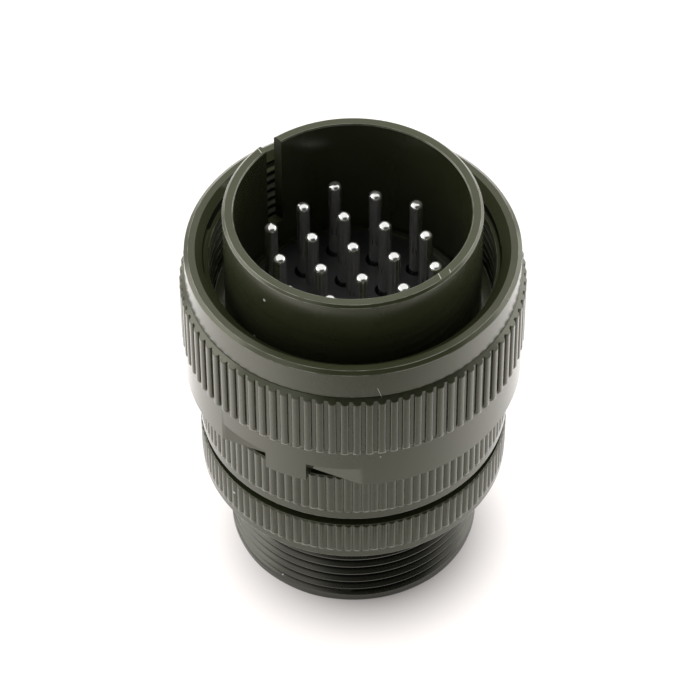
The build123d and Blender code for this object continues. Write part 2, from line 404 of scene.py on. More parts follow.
@dataclass(frozen=True)
class Thread:
    """Helical thread. Each station is a share of the pitch, from zero up, and the share of the depth there.

    Worn crests are marked above zero, and the roots below zero, where they get a painted shade.
    """

    crest_radius: float
    root_radius: float
    stations: tuple[Pair, ...]
    pitch: float = 1.411
    columns: int = 180
    clear_of_ends: float = 0.02
    worn_depth: float = 0.06
    # Roots deeper than these shares of the depth get a painted shade.
    unshaded_depth: float = 0.36
    root_shade_depth: float = 0.6

    def depth(self, share: float) -> float:
        """Finds how deep the thread is at one place.

        Args:
            share: The place as a share of the pitch.

        Returns:
            The share of the depth.
        """
        share %= 1.0
        marks = [*self.stations, (1.0, self.stations[0][1])]
        (low, low_depth), (high, high_depth) = next(pair for pair in pairwise(marks) if share <= pair[1][0])
        return low_depth + (high_depth - low_depth) * (share - low) / (high - low)

    def mark(self, depth: float) -> float:
        """Mark at any share of the depth: wear above zero, painted root shade below."""
        # Below zero: painted shade that darkens the thread's roots.
        root_shade = (depth - self.unshaded_depth) / (self.root_shade_depth - self.unshaded_depth)
        return max(0.0, 1 - depth / self.worn_depth) - min(1.0, max(0.0, root_shade))

    def cut(
        self, skin: Skin, bottom: float, top: float, shape: Callable[[float, float], float]
    ) -> tuple[Circle, Circle]:
        """Adds the threaded surface between two planes.

        Args:
            skin: The surface to add to.
            bottom: Height of the lower plane.
            top: Height of the upper plane.
            shape: Gives the real radius from the thread's radius and the height, for chamfers.

        Returns:
            The lowest and the highest circle of points.
        """
        per_turn = len(self.stations)
        travel = self.root_radius - self.crest_radius
        columns = []
        for column, angle in enumerate(even_angles(self.columns)):
            lead = self.pitch * column / self.columns
            marks = {}
            for end, height in ((-math.inf, bottom), (math.inf, top)):
                radius = self.crest_radius + travel * self.depth((height - lead) / self.pitch)
                marks[end] = skin.point(shape(radius, height), angle, height)
            first_turn = math.floor((bottom - lead) / self.pitch) - 1
            last_turn = math.ceil((top - lead) / self.pitch) + 1
            for turn, station in product(range(first_turn, last_turn), range(per_turn)):
                share, depth = self.stations[station]
                height = (turn + share) * self.pitch + lead
                if bottom + self.clear_of_ends < height < top - self.clear_of_ends:
                    plain = self.crest_radius + travel * depth
                    radius = shape(plain, height)
                    mark = self.mark(depth) if radius == plain else 0.0
                    marks[turn * per_turn + station] = skin.point(radius, angle, height, mark)
            columns.append(marks)
        around = {mark - per_turn: index for mark, index in columns[0].items()}
        for left, right in pairwise([*columns, around]):
            self.join(skin, left, right)
        return [marks[-math.inf] for marks in columns], [marks[math.inf] for marks in columns]

    @staticmethod
    def join(skin: Skin, left: dict[float, int], right: dict[float, int]) -> None:
        """Joins two columns, pairing the points on the same turn of the thread.

        Args:
            skin: The surface to add to.
            left: Points of one column by their order along the thread, up to the one at infinity.
            right: The same for the next column.
        """
        left_marks, right_marks = sorted(left), sorted(right)
        i = j = 0
        while left_marks[i] < math.inf:
            face = [left[left_marks[i]], right[right_marks[j]]]
            next_left, next_right = left_marks[i + 1], right_marks[j + 1]
            if next_right <= next_left:
                face.append(right[next_right])
                j += 1
            if next_left <= next_right:
                face.append(left[next_left])
                i += 1
            skin.faces.append(face)


@dataclass(frozen=True)
class Opening:
    """Opening cut through one side of a turned wall: its direction, width and heights."""

    direction: float
    width: float
    bottom: float
    top: float
    columns: int = 6

    def turn(self, skin: Skin, stops: Sequence[Stop], columns: int) -> None:
        """Turns a closed outline about the axis and leaves the opening in one side.

        Args:
            skin: The surface to add to.
            stops: The closed outline's circles. Those in the opening follow each other.
            columns: Columns of points round the rest of the wall.
        """
        count = len(stops)
        inside = [self.bottom - ROUND_OFF <= stop.height <= self.top + ROUND_OFF for stop in stops]
        walls, spans = [], []
        for index, stop in enumerate(stops):
            half = math.asin(self.width / 2 / stop.radius)
            start, end = self.direction + half, self.direction + FULL_TURN - half
            wall = skin.ring(stop, [start + (end - start) * step / columns for step in range(columns + 1)])
            walls.append(wall)
            if inside[index] and inside[index - 1] and inside[(index + 1) % count]:
                spans.append([])
                continue
            across = [end + 2 * half * step / self.columns for step in range(1, self.columns)]
            spans.append([wall[-1], *skin.ring(stop, across), wall[0]])
        for index in range(count):
            after = (index + 1) % count
            skin.strip(walls[index], walls[after], closed=False)
            if not (inside[index] and inside[after]):
                skin.strip(spans[index], spans[after], closed=False)
        first = next(index for index in range(count) if inside[index] and not inside[index - 1])
        run = [(first + step) % count for step in range(sum(inside))]
        skin.strip(spans[run[0]], spans[run[-1]], closed=False)
        for end in (0, -1):
            skin.faces.append([walls[index][end] for index in run])


class Graph:
    """Short hand for a shader node tree."""

    def __init__(self, tree: NodeTree) -> None:
        """Takes the tree to add nodes to."""
        self.tree = tree

    @classmethod
    def emptied(cls, owner: Material | World) -> "Graph":
        """Takes the node tree of a material or of the world and clears it.

        Args:
            owner: The material or world.

        Returns:
            The graph of the cleared tree.
        """
        owner.use_nodes = True
        owner.node_tree.nodes.clear()
        return cls(owner.node_tree)

    @cached_property
    def place(self) -> Socket:
        """Coordinates in the object's own frame."""
        return self.add("TexCoord").outputs["Object"]

    def add(self, kind: str, *values: object, settings: dict | None = None, **inputs: object) -> Node:
        """Adds a node. A socket given for one of its inputs is linked, a value is set.

        Args:
            kind: The node's type name without its prefix.
            values: Its first inputs in order.
            settings: Attributes of the node.
            inputs: Inputs by name, spaces written as underscores.

        Returns:
            The node.
        """
        node = self.tree.nodes.new(f"ShaderNode{kind}")
        for name, value in (settings or {}).items():
            setattr(node, name, value)
        for socket, value in zip(node.inputs, values):
            self.feed(socket, value)
        for name, value in inputs.items():
            self.feed(node.inputs[name.replace("_", " ")], value)
        return node

    def feed(self, socket: Socket, value: object) -> None:
        """Links a socket to another, or sets its value.

        Args:
            socket: The socket.
            value: The other socket or the value.
        """
        if isinstance(value, Socket):
            self.tree.links.new(value, socket)
        else:
            socket.default_value = value

    def blend(self, share: Socket, one: object, other: object) -> Socket:
        """Mixes two colours by a share.

        Args:
            share: How much of the second colour there is.
            one: The first colour.
            other: The second.

        Returns:
            The socket of the mixed colour.
        """
        node = self.add("Mix", share, settings={"data_type": "RGBA"})
        for index, colour in zip(MIX_COLOUR_INPUTS, (one, other)):
            self.feed(node.inputs[index], colour)
        return node.outputs[MIX_COLOUR_OUTPUT]

    def reckon(self, kind: str, *values: object) -> Socket:
        """Adds a sum, product or the like of values."""
        return self.add("Math", *values, settings={"operation": kind}).outputs[0]

    def combine(self, kind: str, *vectors: object, output: str = "Vector") -> Socket:
        """Adds a difference, product or the like of vectors."""
        return self.add("VectorMath", *vectors, settings={"operation": kind}).outputs[output]

    def spread(
        self, value: Socket, low: float, high: float, start: float, end: float, kind: str = "SMOOTHSTEP"
    ) -> Socket:
        """Maps a value from one range to another, held at the ends.

        Args:
            value: The value.
            low: Where the first range starts.
            high: Where it ends.
            start: Where the second range starts.
            end: Where it ends.
            kind: How the values between are worked out.

        Returns:
            The socket of the mapped value.
        """
        node = self.add(
            "MapRange", settings={"interpolation_type": kind},
            Value=value, From_Min=low, From_Max=high, To_Min=start, To_Max=end,
        )
        return node.outputs["Result"]

    def noise(self, scale: float, detail: float) -> Socket:
        """Adds noise that lies still on the object."""
        return self.add("TexNoise", Vector=self.place, Scale=scale, Detail=detail).outputs["Fac"]

    def effect(self, group: NodeTree, **inputs: object) -> bpy.types.NodeOutputs:
        """Adds a shared effect and returns its outputs."""
        return self.add("Group", settings={"node_tree": group}, **inputs).outputs

    def rays(self) -> tuple[Socket, Socket]:
        """Tells the rays that come from the camera or through a surface, and the mirrored rays.

        Returns:
            The sockets of the two shares.
        """
        path = self.add("LightPath").outputs
        seen = self.reckon("MAXIMUM", path["Is Camera Ray"], path["Is Transmission Ray"])
        return seen, path["Is Glossy Ray"]


class EffectGraph(Graph):
    """Graph of a shader node group that finishes share."""

    def __init__(self, name: str, **inputs: float | Triple) -> None:
        """Makes the group.

        Args:
            name: The group's name.
            inputs: Default of each input by name, a number or a vector.
        """
        super().__init__(bpy.data.node_groups.new(name, "ShaderNodeTree"))
        for label, default in inputs.items():
            kind = "NodeSocketFloat" if isinstance(default, float) else "NodeSocketVector"
            socket = self.tree.interface.new_socket(name=label, in_out="INPUT", socket_type=kind)
            socket.default_value = default
        self.source = self.tree.nodes.new("NodeGroupInput").outputs

    def put_out(self, **results: Socket) -> NodeTree:
        """Gives the group an output for each result and returns the group.

        Args:
            results: The socket to put out, by the output's name.

        Returns:
            The group.
        """
        for label in results:
            self.tree.interface.new_socket(name=label, in_out="OUTPUT", socket_type="NodeSocketFloat")
        sink = self.tree.nodes.new("NodeGroupOutput")
        for label, socket in results.items():
            self.feed(sink.inputs[label], socket)
        return self.tree


@dataclass
class SurfaceEffects:
    """Effects that several finishes share, each a node group that is built once.

    Each noise is a scale per metre and a detail.
    """

    wear_noise: Pair = (500.0, 3.0)
    wear_range: Pair = (0.35, 0.62)
    wear_floor: float = 0.2
    fine_noise: Pair = (9000.0, 2.0)
    slow_noise: Pair = (160.0, 4.0)
    slow_share: float = 0.7
    streak_fade: Pair = (0.3, 0.6)
    speck_scale: float = 600.0
    speck_size: float = 0.12

    @cached_property
    def wear_and_shade(self) -> NodeTree:
        """Edge wear and painted root shade: masks of the marks above and below zero, the first broken up by
        noise.

        Returns:
            The group, with the output Mask for the wear and one for the painted root shade.
        """
        graph = EffectGraph("edge_wear", Edge=0.0, Amount=0.5)
        edge = graph.source["Edge"]
        broken = graph.spread(graph.noise(*self.wear_noise), *self.wear_range, self.wear_floor, 1.0)
        worn = graph.reckon("MULTIPLY", graph.reckon("MAXIMUM", edge, 0.0), broken)
        return graph.put_out(
            Mask=graph.reckon("MULTIPLY", worn, graph.source["Amount"]),
            Grime=graph.reckon("MAXIMUM", graph.reckon("MULTIPLY", edge, -1.0), 0.0),
        )

    @cached_property
    def grain(self) -> NodeTree:
        """Grain of a matte coating: a fine height and a slow change of tone.

        Returns:
            The group, with the outputs Height and Tone.
        """
        graph = EffectGraph("coating_grain")
        fine, slow = graph.noise(*self.fine_noise), graph.noise(*self.slow_noise)
        slow_part = graph.reckon("MULTIPLY", slow, self.slow_share)
        fine_part = graph.reckon("MULTIPLY", fine, 1 - self.slow_share)
        return graph.put_out(Height=fine, Tone=graph.reckon("ADD", slow_part, fine_part))

    @cached_property
    def streak(self) -> NodeTree:
        """Streak: a mask of the points near a line from one place to another.

        Returns:
            The group, with the output Mask.
        """
        graph = EffectGraph("short_streak", Start=(0.0, 0.0, 0.0), End=(0.0, 0.0, 1.0), Width=0.0001)
        line = graph.combine("SUBTRACT", graph.source["End"], graph.source["Start"])
        offset = graph.combine("SUBTRACT", graph.place, graph.source["Start"])
        along, length = (graph.combine("DOT_PRODUCT", way, line, output="Value") for way in (offset, line))
        share = graph.reckon("DIVIDE", along, length)
        share = graph.reckon("MINIMUM", graph.reckon("MAXIMUM", share, 0.0), 1.0)
        nearest = graph.combine("MULTIPLY", line, share)
        gap = graph.combine("DISTANCE", offset, nearest, output="Value")
        widths = graph.reckon("DIVIDE", gap, graph.source["Width"])
        return graph.put_out(Mask=graph.spread(widths, *self.streak_fade, 1.0, 0.0))

    @cached_property
    def specks(self) -> NodeTree:
        """Specks of dust: a mask of small scattered dots.

        Returns:
            The group, with the output Mask.
        """
        graph = EffectGraph("dust_specks", Amount=0.1)
        cells = graph.add("TexVoronoi", Vector=graph.place, Scale=self.speck_scale).outputs
        near = graph.reckon("LESS_THAN", cells["Distance"], self.speck_size)
        chance = graph.add("SeparateColor", Color=cells["Color"]).outputs["Red"]
        rare = graph.reckon("LESS_THAN", chance, graph.source["Amount"])
        return graph.put_out(Mask=graph.reckon("MULTIPLY", near, rare))


@dataclass(frozen=True)
class Mark:
    """One small mark: whatever surface lies near a short line, in millimetres, shows the mark's colour."""

    start: Triple
    end: Triple
    width: float = 0.1
    colour: Triple = (0.36, 0.36, 0.31)


@dataclass(frozen=True)
class Finish:
    """A coated or plated finish. Colours are linear red, green and blue."""

    name: str
    colour: Triple
    worn_colour: Triple
    roughness: float
    roughness_change: float = 0.05
    tone_change: float = 0.12
    metallic: float = 0.0
    ior: float = 1.5
    edge_wear: float = 0.35
    grain_height: float = 0.002
    speck_amount: float = 0.02
    speck_colour: Triple = (0.5, 0.5, 0.46)
    # Colour and metal of the painted shade in thread roots.
    root_shade_colour: Triple = (0.006, 0.006, 0.004)
    root_shade_metal: float = 0.0
    mirror_tint: Triple = (1.0, 1.0, 1.0)
    marks: tuple[Mark, ...] = ()

    def material(self, effects: SurfaceEffects) -> Material:
        """Builds the material.

        Args:
            effects: The shared effects.

        Returns:
            The material.
        """
        made = bpy.data.materials.new(self.name)
        graph = Graph.emptied(made)
        grain = graph.effect(effects.grain)
        edge = graph.add("Attribute", settings={"attribute_name": "edge"}).outputs["Fac"]
        wear_and_shade = graph.effect(effects.wear_and_shade, Edge=edge, Amount=self.edge_wear)
        specks = graph.effect(effects.specks, Amount=self.speck_amount)
        tones = [opaque(self.colour, 1 + change) for change in (-self.tone_change, self.tone_change)]
        base = graph.blend(graph.spread(grain["Tone"], *TONE_RANGE, 0, 1), *tones)
        layers = [
            (wear_and_shade["Mask"], self.worn_colour),
            # The mask below zero lays a painted shade in the thread roots.
            (wear_and_shade["Grime"], self.root_shade_colour),
            (specks["Mask"], self.speck_colour),
        ]
        for mark in self.marks:
            ends = {"Start": Vector(mark.start) * MM, "End": Vector(mark.end) * MM}
            layers.append((graph.effect(effects.streak, **ends, Width=mark.width * MM)["Mask"], mark.colour))
        for mask, colour in layers:
            base = graph.blend(mask, base, opaque(colour))
        gloss = graph.spread(
            grain["Tone"], *TONE_RANGE,
            self.roughness - self.roughness_change, self.roughness + self.roughness_change,
        )
        metal = self.metallic
        # The painted root shade turns metallic, which darkens it more.
        if self.root_shade_metal:
            metal = graph.reckon("MULTIPLY", wear_and_shade["Grime"], self.root_shade_metal)
        bump = graph.add("Bump", Height=grain["Height"], Strength=1.0, Distance=self.grain_height * MM)
        shader = graph.add(
            "BsdfPrincipled", Base_Color=base, Roughness=gloss, Normal=bump.outputs["Normal"],
            Metallic=metal, IOR=self.ior, Specular_Tint=opaque(self.mirror_tint),
        )
        graph.add("OutputMaterial", Surface=shader.outputs["BSDF"])
        return made


@dataclass
class Workshop:
    """Makes each finish once and hands pieces over to the bodies of the frame."""

    effects: SurfaceEffects = field(default_factory=SurfaceEffects)
    stock: dict[str, Material] = field(default_factory=dict)

    def material(self, finish: Finish) -> Material:
        """The finish's material, built at its first use.

        Args:
            finish: The finish.

        Returns:
            The material.
        """
        if finish.name not in self.stock:
            self.stock[finish.name] = finish.material(self.effects)
        return self.stock[finish.name]

    def dress_node(self, node: str, finish: Finish) -> None:
        """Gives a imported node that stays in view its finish.

        Args:
            node: The node.
            finish: The finish.
        """
        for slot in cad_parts[node].material_slots:
            slot.material = self.material(finish)
        LOG.info("node %s dressed in %s", node, finish.name)

    def hand_over(
        self, skin: Skin, name: str, node: str, finish: Finish, body: Body
    ) -> Object:
        """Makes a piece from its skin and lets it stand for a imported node.

        Args:
            skin: The piece's surface.
            name: The piece's name.
            node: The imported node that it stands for.
            finish: Its finish.
            body: The body that it moves with.

        Returns:
            The piece.
        """
        piece = skin.as_object(name)
        piece.data.materials.append(self.material(finish))
        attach(piece, body.value)
        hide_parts(node)
        LOG.info("piece %s: %d faces for node %s", name, len(piece.data.polygons), node)
        return piece

    def redress(
        self, piece: Object, finish: Finish, chosen: Callable[[Vector, Vector], bool]
    ) -> None:
        """Gives some faces of a piece another finish.

        Args:
            piece: The piece.
            finish: The other finish.
            chosen: Tells, from a face's centre in millimetres and its normal, whether it is one of them.
        """
        piece.data.materials.append(self.material(finish))
        for face in piece.data.polygons:
            if chosen(face.center / MM, face.normal):
                face.material_index = 1


GREASE = (0.002, 0.002, 0.002)
BODY_MARKS = (
    Mark((0.66, -13.38, 53.4), (0.16, -14.57, 53.4)),
    Mark((1.81, -14.21, 53.4), (1.4, -15.0, 53.4)),
    Mark((-1.54, 14.79, 53.4), (-1.73, 13.87, 53.4)),
    Mark((7.9, -17.16, 46.98), (7.73, -17.84, 46.98)),
    Mark((-0.56, -18.29, 46.98), (-0.7, -18.75, 46.98)),
    Mark((-8.42, -16.31, 46.98), (-8.5, -16.82, 46.98)),
    Mark((-10.97, -16.22, 44.57), (-10.53, -16.51, 42.85), 0.08),
    Mark((-11.08, -16.9, 33.22), (-10.69, -16.48, 32.53), 0.2),
)
THREAD_MARKS = (
    Mark((-14.62, -3.22, 1.55), (-14.26, -2.8, 0.84), 0.24, (0.6, 0.6, 0.55)),
    Mark((-14.12, -5.04, 1.07), (-13.76, -4.62, 0.36), 0.28, GREASE),
    Mark((-14.35, -4.31, 7.83), (-13.99, -3.88, 7.12), 0.2),
    Mark((-13.75, -6.01, 8.71), (-13.38, -5.58, 8.01), 0.2),
)
OLIVE_PLATING = Finish(
    name="olive_drab_plating",
    colour=(0.029, 0.033, 0.015),
    worn_colour=(0.30, 0.30, 0.26),
    roughness=0.2,
    roughness_change=0.02,
    tone_change=0.06,
    ior=1.62,
    mirror_tint=(1.0, 0.98, 0.82),
    edge_wear=0.55,
    root_shade_metal=0.85,
    grain_height=0.0001,
    speck_amount=0.006,
    marks=BODY_MARKS,
)
# Darker, duller copy of the plating for the keyway's cut faces: painted shade.
SHADED_SLOT_PLATING = replace(
    OLIVE_PLATING,
    name="olive_drab_cut_faces_painted_shade",
    colour=(0.016, 0.018, 0.008),
    ior=1.2,
    roughness=0.5,
    edge_wear=0.05,
    root_shade_metal=0.0,
    marks=(),
)
BELL_PLATING = replace(OLIVE_PLATING, name="olive_drab_bell_plating", ior=1.49, root_shade_metal=0.0, marks=())
BLACK_THREAD = Finish(
    name="dark_thread_finish",
    colour=(0.011, 0.011, 0.007),
    worn_colour=(0.03, 0.03, 0.025),
    roughness=0.28,
    roughness_change=0.02,
    tone_change=0.1,
    ior=1.7,
    mirror_tint=(1.0, 0.98, 0.85),
    root_shade_metal=0.85,
    grain_height=0.0008,
    speck_amount=0.006,
    marks=THREAD_MARKS,
)
SILVER_PLATING = Finish(
    name="silver_plating",
    colour=(0.86, 0.85, 0.83),
    worn_colour=(0.9, 0.9, 0.88),
    roughness=0.13,
    metallic=0.95,
    tone_change=0.04,
    speck_amount=0.0,
    grain_height=0.0005,
)
BLACK_INSULATOR = Finish(
    name="black_insulator",
    colour=(0.012, 0.012, 0.012),
    worn_colour=(0.05, 0.05, 0.05),
    roughness=0.5,
    speck_colour=(0.15, 0.15, 0.15),
)
BLUED_STEEL = Finish(
    name="dull_spring_steel",
    colour=(0.3, 0.3, 0.29),
    worn_colour=(0.45, 0.45, 0.44),
    roughness=0.35,
    metallic=1.0,
    speck_amount=0.0,
)


@dataclass(frozen=True)
class SkirtNotch:
    """Notch in the nut's skirt: a flat with a tab of full radius left in its middle."""

    height: float = 2.84
    flat_distance: float = 17.85
    tab_width: float = 5.1
    direction: float = math.radians(-155.5)

    def angles(self, radius: float) -> list[float]:
        """Angles of the skirt's points, with columns on every edge of the notch.

        Args:
            radius: The skirt's radius.

        Returns:
            The angles in order.
        """
        tab_edge = math.asin(self.tab_width / 2 / radius)
        tab_foot = math.atan2(self.tab_width / 2, self.flat_distance)
        flat_end = math.acos(self.flat_distance / radius)
        special = [sign * angle for angle in (tab_edge, tab_foot, flat_end) for sign in (-1, 1)]
        clear = FULL_TURN / EVEN_COLUMNS / 2
        kept = []
        for angle in even_angles(EVEN_COLUMNS):
            offset = (angle + math.pi) % FULL_TURN - math.pi
            beside_tab = tab_edge - clear < abs(offset) < tab_foot + clear
            if not beside_tab and all(abs(offset - edge) > clear for edge in special):
                kept.append(offset)
        return [self.direction + offset for offset in sorted(kept + special)]

    def radius_at(self, angle: float, radius: float) -> float:
        """Radius of the skirt's outline below the notch's shoulder.

        Args:
            angle: Angle of a point.
            radius: The skirt's radius.

        Returns:
            The point's radius.
        """
        offset = abs((angle - self.direction + math.pi) % FULL_TURN - math.pi)
        tab_edge = math.asin(self.tab_width / 2 / radius) + ROUND_OFF
        if tab_edge < offset < math.acos(self.flat_distance / radius) - ROUND_OFF:
            return self.flat_distance / math.cos(offset)
        return radius


@dataclass
class CouplingNut:
    """Coupling nut: smooth band, knurl, notched skirt, threaded bore and inner web."""

    node: str = "coupling_nut"
    skirt_radius: float = 19.93
    skirt_length: float = 5.7
    skirt_bore_radius: float = 16.4
    skirt_bore_depth: float = 4.5
    knurl_length: float = 8.75
    relief_radius: float = 19.25
    relief_width: float = 0.64
    relief_floor: float = 0.54
    cone_radius: float = 19.56
    band_radius: float = 19.58
    edge_chamfer_width: float = 0.48
    edge_chamfer_height: float = 0.35
    mouth_radius: float = 18.28
    web_thickness: float = 2.3
    web_bore_radius: float = 15.45
    thread_relief_length: float = 0.9
    knurl: Knurl = Knurl(count=88, crest_radius=20.24, rib_height=0.34, rib_width=0.99)
    thread: Thread = Thread(
        crest_radius=16.7,
        root_radius=17.46,
        stations=(
            (0.0, 0.0), (0.14, 0.0), (0.165, 0.075), (0.262, 0.36), (0.344, 0.6), (0.48, 1.0),
            (0.66, 1.0), (0.796, 0.6), (0.878, 0.36), (0.975, 0.075),
        ),
    )
    notch: SkirtNotch = SkirtNotch()

    def build(self, workshop: Workshop) -> None:
        """Builds the nut's skin from the rim outwards and back up through its bore.

        Args:
            workshop: Takes the finished skin.
        """
        skin = Skin()
        bottom, top = node_reach(self.node)
        knurl_bottom = bottom + self.skirt_length
        knurl_top = knurl_bottom + self.knurl_length
        band_bottom, cone_foot = knurl_top + self.relief_width, knurl_top + self.relief_floor
        rim_inner, relief_foot = skin.lathe(
            EVEN_COLUMNS,
            (self.mouth_radius, top),
            (self.band_radius - self.edge_chamfer_width, top, FINE),
            (self.band_radius, top - self.edge_chamfer_height, EASED),
            (self.band_radius, band_bottom, FINE),
            (self.relief_radius, band_bottom),
            (self.relief_radius, cone_foot),
            (self.cone_radius, cone_foot),
        )
        knurl_foot, knurl_head = self.knurl.cut(skin, knurl_bottom, cone_foot, self.cone_radius)
        skin.stitch(relief_foot, knurl_head)
        skirt_top, skirt_foot = self.build_skirt(skin, bottom, knurl_bottom)
        skin.stitch(knurl_foot, skirt_top)
        web_bottom = bottom + self.skirt_bore_depth
        web_top = web_bottom + self.web_thickness
        thread_bottom = web_top + self.thread_relief_length
        skirt_inner, relief_top = skin.lathe(
            BORE_COLUMNS,
            (self.skirt_bore_radius, bottom),
            (self.skirt_bore_radius, web_bottom),
            (self.web_bore_radius, web_bottom, SOFT),
            (self.web_bore_radius, web_top, SOFT),
            (self.thread.root_radius, web_top, SOFT),
            (self.thread.root_radius, thread_bottom),
        )
        skin.stitch(skirt_foot, skirt_inner)
        thread_foot, thread_head = self.thread.cut(
            skin, thread_bottom, top - (self.mouth_radius - self.thread.root_radius),
            lambda radius, height: max(radius, self.mouth_radius - (top - height)),
        )
        skin.stitch(relief_top, thread_foot)
        skin.stitch(thread_head, rim_inner)
        workshop.hand_over(skin, "nut_turned", self.node, OLIVE_PLATING, Body.NUT)

    def build_skirt(self, skin: Skin, bottom: float, top: float) -> tuple[Circle, Circle]:
        """Adds the skirt's outside with its notch.

        Args:
            skin: The surface to add to.
            bottom: Height of the skirt's lower edge.
            top: Height of the skirt's upper end.

        Returns:
            The highest circle and the lowest outline of points.
        """
        angles = self.notch.angles(self.skirt_radius)
        radii = [self.notch.radius_at(angle, self.skirt_radius) for angle in angles]
        shoulder = bottom + self.notch.height
        rings = [skin.ring(Stop(self.skirt_radius, height), angles) for height in (top, shoulder)]
        for height in (shoulder, bottom):
            rings.append([skin.point(radius, angle, height) for radius, angle in zip(radii, angles)])
        return skin.pile(rings)


@dataclass
class EndBell:
    """End bell: rear accessory thread, two knurled bands, socket, chamber and cable bore."""

    node: str = "end_bell"
    thread_length: float = 12.85
    thread_chamfer: float = 0.15
    thread_lead_land: float = 0.9
    thread_run_out: float = 0.5
    thread_relief_length: float = 0.55
    rear_land: float = 1.05
    rear_knurl: float = 4.75
    groove_width: float = 1.28
    groove_radius: float = 17.4
    front_land: float = 1.22
    land_radius: float = 18.41
    bore_radius: float = 12.6
    bore_lead: float = 0.5
    bore_length: float = 12.3
    chamber_radius: float = 13.8
    socket_radius: float = 15.45
    socket_depth: float = 8.2
    dark_margin: float = 0.01
    dark_wall: float = 0.5
    knurl: Knurl = Knurl(
        count=110, crest_radius=18.45, rib_height=0.2, cone_start=0.08, foot_rounding=0.03,
        run_out_height=0.15, run_out_power=1.3,
    )
    thread: Thread = Thread(
        crest_radius=15.08,
        root_radius=14.22,
        stations=(
            (0.0, 0.0), (0.08, 0.0), (0.12, 0.06), (0.253, 0.36), (0.36, 0.6), (0.53, 1.0),
            (0.61, 1.0), (0.773, 0.6), (0.86, 0.36), (0.96, 0.06),
        ),
    )

    def build(self, workshop: Workshop) -> None:
        """Builds the bell's skin from its rear face up the outside and back down the inside.

        Args:
            workshop: Takes the finished skin.
        """
        skin = Skin()
        bottom, top = node_reach(self.node)
        rear_band = bottom + self.thread_length
        thread_top = rear_band - self.thread_relief_length
        rear_knurl_bottom = rear_band + self.rear_land
        groove_bottom = rear_knurl_bottom + self.rear_knurl
        front_band = groove_bottom + self.groove_width
        thread_foot, head = self.thread.cut(skin, bottom, thread_top, self.thread_shape)
        for neck_radius, neck, band, rounding, knurl_bottom, knurl_top in (
            (self.thread.root_radius, thread_top, rear_band, SOFT, rear_knurl_bottom, groove_bottom),
            (self.groove_radius, groove_bottom, front_band, KEEN, front_band + self.front_land, top),
        ):
            neck_foot, land_top = skin.lathe(
                EVEN_COLUMNS,
                (neck_radius, neck),
                (neck_radius, band, rounding),
                (self.land_radius, band, BROAD),
                (self.land_radius, knurl_bottom),
            )
            skin.stitch(head, neck_foot)
            knurl_foot, head = self.knurl.cut(skin, knurl_bottom, knurl_top)
            skin.stitch(land_top, knurl_foot)
        socket_floor, chamber_floor = top - self.socket_depth, bottom + self.bore_length
        socket_mouth, rear_face = skin.lathe(
            BORE_COLUMNS,
            (self.socket_radius, top),
            (self.socket_radius, socket_floor),
            (self.chamber_radius, socket_floor),
            (self.chamber_radius, chamber_floor),
            (self.bore_radius, chamber_floor, SOFT),
            (self.bore_radius, bottom + self.bore_lead, SOFT),
            (self.bore_radius + self.bore_lead, bottom),
        )
        skin.stitch(head, socket_mouth)
        skin.stitch(rear_face, thread_foot)
        piece = workshop.hand_over(skin, "bell_turned", self.node, BELL_PLATING, Body.PLUG)
        workshop.redress(piece, BLACK_THREAD, lambda centre, normal: (
            centre.z < rear_band - self.dark_margin and centre.xy.length > self.bore_radius + self.dark_wall
        ))

    def thread_shape(self, radius: float, height: float) -> float:
        """Radius of the thread's skin, with the chamfer and the plain land at the rear end.

        Args:
            radius: The thread's own radius.
            height: The height.

        Returns:
            The radius there.
        """
        crest = self.thread.crest_radius
        share = min(1.0, max(0.0, (height - self.thread_lead_land) / self.thread_run_out))
        return min(crest - (crest - radius) * share, crest - self.thread_chamfer + height)


